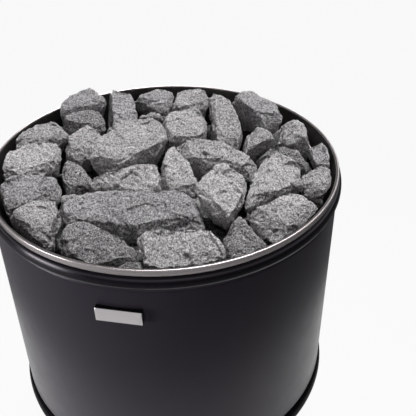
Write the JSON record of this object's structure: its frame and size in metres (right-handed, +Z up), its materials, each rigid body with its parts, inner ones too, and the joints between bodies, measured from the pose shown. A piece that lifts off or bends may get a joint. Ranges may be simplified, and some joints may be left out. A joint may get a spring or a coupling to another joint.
{
  "type": "sauna heater stove",
  "caption": "Round electric sauna heater: black bead-edged drum with a brushed steel rim, heaped with loose broken stones over tubular elements, on levelling feet.",
  "frame": {"origin": "on the floor, under the middle of the drum, with the feet fully screwed in", "axes": "+Z up along the drum's axis; the name plate and the controls face -Y; +X is to the right seen from the front"},
  "size_m": [0.428, 0.4288, 0.4688],
  "materials": {
    "black_coat": "satin powder coat",
    "rim_steel": "brushed along the edge",
    "dark_steel": "heat-darkened stainless sheet",
    "zinc_steel": "zinc plated",
    "element_alloy": "oxidised heater sheath",
    "black_plastic": "matt moulded",
    "ceramic": "unglazed",
    "stone": "broken faces with fine pale and dark grain"
  },
  "bodies": {
    "heater": {"outer_shell": "black_coat", "top_collar": "black_coat", "base_ring": "black_coat", "control_box": "black_coat", "leg_1": "black_coat", "leg_2": "black_coat", "leg_3": "black_coat", "rim_band": "rim_steel", "name_plate": "rim_steel", "stone_container": "dark_steel", "stone_grate": "dark_steel", "heat_shield": "zinc_steel", "bottom_plate": "zinc_steel", "heating_element_1": "element_alloy", "heating_element_2": "element_alloy", "heating_element_3": "element_alloy", "timer_switch": "black_plastic", "thermostat_switch": "black_plastic", "cable_gland": "black_plastic", "overheat_limiter": "ceramic", "terminal_block": "ceramic", "stone_02": "stone", "stone_03": "stone", "stone_04": "stone", "stone_05": "stone", "stone_06": "stone", "stone_07": "stone", "stone_08": "stone", "stone_10": "stone", "stone_11": "stone", "stone_12": "stone", "stone_13": "stone", "stone_14": "stone", "stone_15": "stone", "stone_16": "stone", "stone_17": "stone", "stone_18": "stone", "stone_19": "stone", "stone_20": "stone", "stone_21": "stone", "stone_22": "stone", "stone_25": "stone", "stone_27": "stone", "stone_28": "stone", "stone_29": "stone", "stone_30": "stone", "stone_31": "stone", "stone_32": "stone", "lower_stones": "stone"},
    "foot_1": {"foot_1": "zinc_steel"},
    "foot_2": {"foot_2": "zinc_steel"},
    "foot_3": {"foot_3": "zinc_steel"},
    "timer_knob": {"timer_knob": "black_plastic"},
    "thermostat_knob": {"thermostat_knob": "black_plastic"},
    "reset_button": {"reset_button": "black_plastic"},
    "stone_01": {"stone_01": "stone"},
    "stone_09": {"stone_09": "stone"},
    "stone_23": {"stone_23": "stone"},
    "stone_24": {"stone_24": "stone"},
    "stone_26": {"stone_26": "stone"}
  },
  "joints": [
    {"name": "foot_1_level", "type": "slide", "parent": "heater", "child": "foot_1", "axis": [0, 0, -1], "range_m": [0, 0.02]},
    {"name": "foot_2_level", "type": "slide", "parent": "heater", "child": "foot_2", "axis": [0, 0, -1], "range_m": [0, 0.02]},
    {"name": "foot_3_level", "type": "slide", "parent": "heater", "child": "foot_3", "axis": [0, 0, -1], "range_m": [0, 0.02]},
    {"name": "timer_turn", "type": "hinge", "parent": "heater", "child": "timer_knob", "pos_m": [-0.052, -0.118, 0.072], "axis": [0, 1, 0], "range_deg": [0, 315]},
    {"name": "thermostat_turn", "type": "hinge", "parent": "heater", "child": "thermostat_knob", "pos_m": [0.052, -0.118, 0.072], "axis": [0, 1, 0], "range_deg": [0, 270]},
    {"name": "reset_press", "type": "slide", "parent": "heater", "child": "reset_button", "axis": [0, 1, 0], "range_m": [0, 0.003], "stiffness_N_per_m": 500, "springref_m": -0.001},
    {"name": "stone_01_lift", "type": "slide", "parent": "heater", "child": "stone_01", "axis": [0, 0, 1], "range_m": [0, 0.12]},
    {"name": "stone_09_lift", "type": "slide", "parent": "heater", "child": "stone_09", "axis": [0, 0, 1], "range_m": [0, 0.12]},
    {"name": "stone_23_lift", "type": "slide", "parent": "heater", "child": "stone_23", "axis": [0, 0, 1], "range_m": [0, 0.12]},
    {"name": "stone_24_lift", "type": "slide", "parent": "heater", "child": "stone_24", "axis": [0, 0, 1], "range_m": [0, 0.12]},
    {"name": "stone_26_lift", "type": "slide", "parent": "heater", "child": "stone_26", "axis": [0, 0, 1], "range_m": [0, 0.12]}
  ]
}
